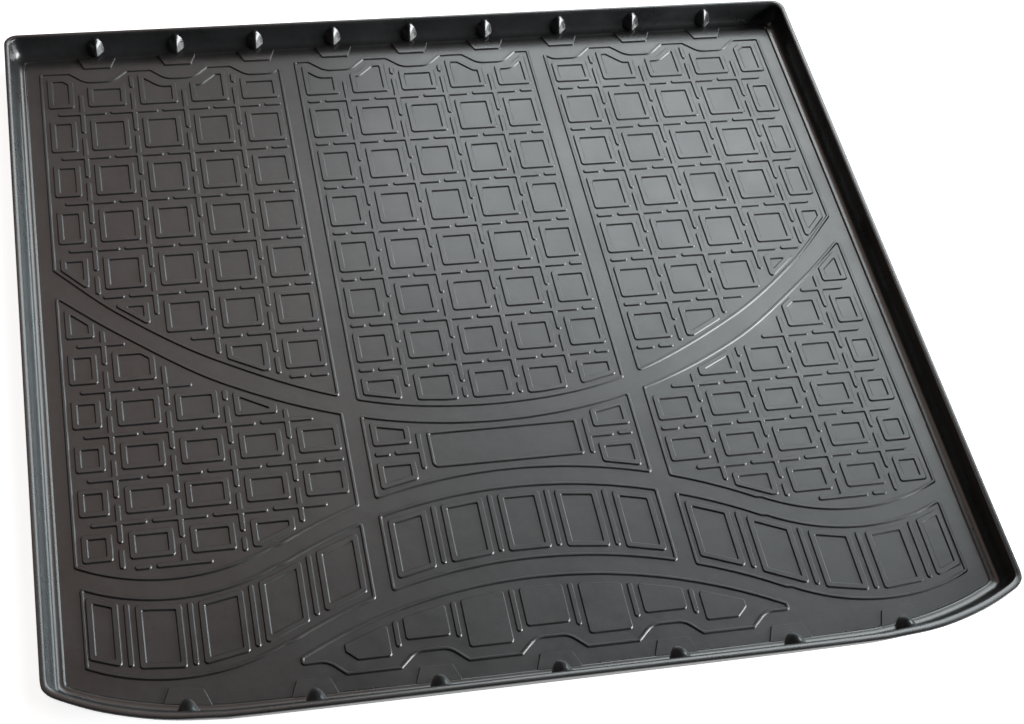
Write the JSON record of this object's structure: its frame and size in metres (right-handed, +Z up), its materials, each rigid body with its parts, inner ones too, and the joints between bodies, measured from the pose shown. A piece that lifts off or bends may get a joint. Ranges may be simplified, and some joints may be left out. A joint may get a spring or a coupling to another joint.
{
  "type": "car boot liner",
  "caption": "Shallow moulded rubber tray for a car boot, with a raised tread of squares and crossing ribs, a stepped wall and a turned-out lip.",
  "frame": {"origin": "middle of the bounding box on the floor plane under the tray", "axes": "+X across the width, +Y towards the straight rear wall, +Z up; the bowed front wall lies towards -Y"},
  "size_m": [1.012, 0.977, 0.032],
  "materials": {
    "rubber": "satin black moulded rubber with a fine grain"
  },
  "bodies": {
    "root": {"boot_liner": "rubber"}
  },
  "joints": []
}
